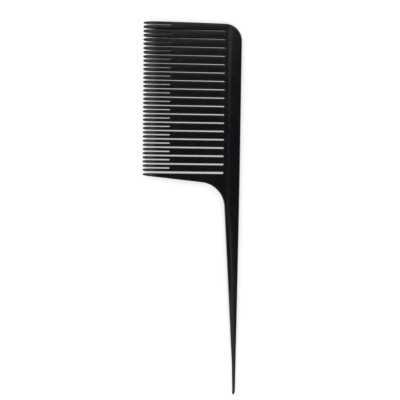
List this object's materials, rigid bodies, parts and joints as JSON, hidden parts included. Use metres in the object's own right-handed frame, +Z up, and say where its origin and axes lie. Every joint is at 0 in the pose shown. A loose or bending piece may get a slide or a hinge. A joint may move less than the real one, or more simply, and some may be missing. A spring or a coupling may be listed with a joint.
{
  "type": "rat tail comb",
  "caption": "One-piece black plastic rat tail comb: a thick spine with forked weaving tines, an end tooth, a curved heel and a long tapering tail.",
  "frame": {"origin": "under the centre of the comb's outline, on the surface it lies on", "axes": "+X along the comb from the head end to the tip of the tail, -Y the way the teeth point, +Z up through its thickness as it lies flat"},
  "size_m": [0.24, 0.0624, 0.0054],
  "materials": {
    "black_plastic": "black moulded plastic with a satin gloss, fine moulding texture and light handling wear"
  },
  "bodies": {
    "root": {"spine": "black_plastic", "heel": "black_plastic", "tail": "black_plastic", "end_tooth": "black_plastic", "tine_01_shank": "black_plastic", "tine_01_prong_head_side": "black_plastic", "tine_01_prong_tail_side": "black_plastic", "tine_02_shank": "black_plastic", "tine_02_prong_head_side": "black_plastic", "tine_02_prong_tail_side": "black_plastic", "tine_03_shank": "black_plastic", "tine_03_prong_head_side": "black_plastic", "tine_03_prong_tail_side": "black_plastic", "tine_04_shank": "black_plastic", "tine_04_prong_head_side": "black_plastic", "tine_04_prong_tail_side": "black_plastic", "tine_05_shank": "black_plastic", "tine_05_prong_head_side": "black_plastic", "tine_05_prong_tail_side": "black_plastic", "tine_06_shank": "black_plastic", "tine_06_prong_head_side": "black_plastic", "tine_06_prong_tail_side": "black_plastic", "tine_07_shank": "black_plastic", "tine_07_prong_head_side": "black_plastic", "tine_07_prong_tail_side": "black_plastic", "tine_08_shank": "black_plastic", "tine_08_prong_head_side": "black_plastic", "tine_08_prong_tail_side": "black_plastic", "tine_09_shank": "black_plastic", "tine_09_prong_head_side": "black_plastic", "tine_09_prong_tail_side": "black_plastic", "tine_10_shank": "black_plastic", "tine_10_prong_head_side": "black_plastic", "tine_10_prong_tail_side": "black_plastic", "tine_11_shank": "black_plastic", "tine_11_prong_head_side": "black_plastic", "tine_11_prong_tail_side": "black_plastic", "tine_12_shank": "black_plastic", "tine_12_prong_head_side": "black_plastic", "tine_12_prong_tail_side": "black_plastic", "tine_13_shank": "black_plastic", "tine_13_prong_head_side": "black_plastic", "tine_13_prong_tail_side": "black_plastic", "tine_14_shank": "black_plastic", "tine_14_prong_head_side": "black_plastic", "tine_14_prong_tail_side": "black_plastic", "tine_15_shank": "black_plastic", "tine_15_prong_head_side": "black_plastic", "tine_15_prong_tail_side": "black_plastic", "tine_16_shank": "black_plastic", "tine_16_prong_head_side": "black_plastic", "tine_16_prong_tail_side": "black_plastic", "tine_17_shank": "black_plastic", "tine_17_prong_head_side": "black_plastic", "tine_17_prong_tail_side": "black_plastic", "tine_18_shank": "black_plastic", "tine_18_prong_head_side": "black_plastic", "tine_18_prong_tail_side": "black_plastic"}
  },
  "joints": []
}
